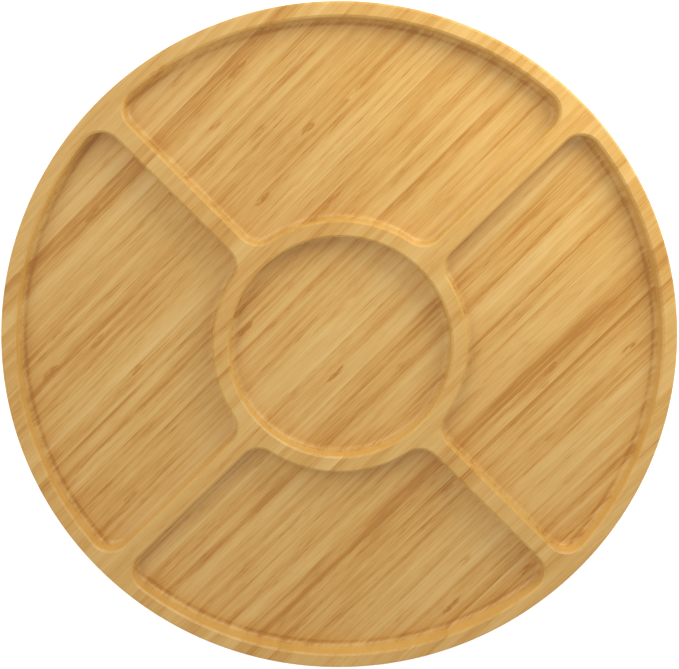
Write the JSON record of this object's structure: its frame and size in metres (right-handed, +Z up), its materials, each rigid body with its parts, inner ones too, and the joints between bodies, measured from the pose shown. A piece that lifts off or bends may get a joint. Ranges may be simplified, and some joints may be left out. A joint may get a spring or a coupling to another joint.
{
  "type": "chip and dip server",
  "caption": "Round bamboo tray glued up from slats, with shallow pockets round a central dip well.",
  "frame": {"origin": "centre of the flat underside", "axes": "+Z up out of the pockets, +X along the slats and one pair of dividers, +Y along the other pair"},
  "size_m": [0.33, 0.33, 0.019],
  "materials": {
    "bamboo_straw": "satin food-safe oil on pale straw bamboo, fine end-to-end grain",
    "bamboo_honey": "satin food-safe oil on honey bamboo, fine end-to-end grain",
    "bamboo_amber": "satin food-safe oil on amber bamboo, fine end-to-end grain",
    "bamboo_caramel": "satin food-safe oil on caramel bamboo, fine end-to-end grain"
  },
  "bodies": {
    "root": {"slat_01": "bamboo_straw", "slat_02": "bamboo_honey", "slat_03": "bamboo_honey", "slat_04": "bamboo_amber", "slat_05": "bamboo_honey", "slat_06": "bamboo_straw", "slat_07": "bamboo_straw", "slat_08": "bamboo_honey", "slat_09": "bamboo_honey", "slat_10": "bamboo_caramel", "slat_11": "bamboo_amber", "slat_12": "bamboo_caramel", "slat_13": "bamboo_straw", "slat_14": "bamboo_honey", "slat_15": "bamboo_honey", "slat_16": "bamboo_honey", "slat_17": "bamboo_straw", "slat_18": "bamboo_amber", "slat_19": "bamboo_honey", "slat_20": "bamboo_straw", "slat_21": "bamboo_honey", "slat_22": "bamboo_straw", "slat_23": "bamboo_straw", "slat_24": "bamboo_honey", "slat_25": "bamboo_honey", "slat_26": "bamboo_honey", "slat_27": "bamboo_honey", "slat_28": "bamboo_amber", "slat_29": "bamboo_honey", "slat_30": "bamboo_straw", "slat_31": "bamboo_honey", "slat_32": "bamboo_amber", "slat_33": "bamboo_amber", "slat_34": "bamboo_honey", "slat_35": "bamboo_amber", "slat_36": "bamboo_honey", "slat_37": "bamboo_straw", "slat_38": "bamboo_caramel", "slat_39": "bamboo_straw", "slat_40": "bamboo_straw", "slat_41": "bamboo_honey", "slat_42": "bamboo_honey"}
  },
  "joints": []
}
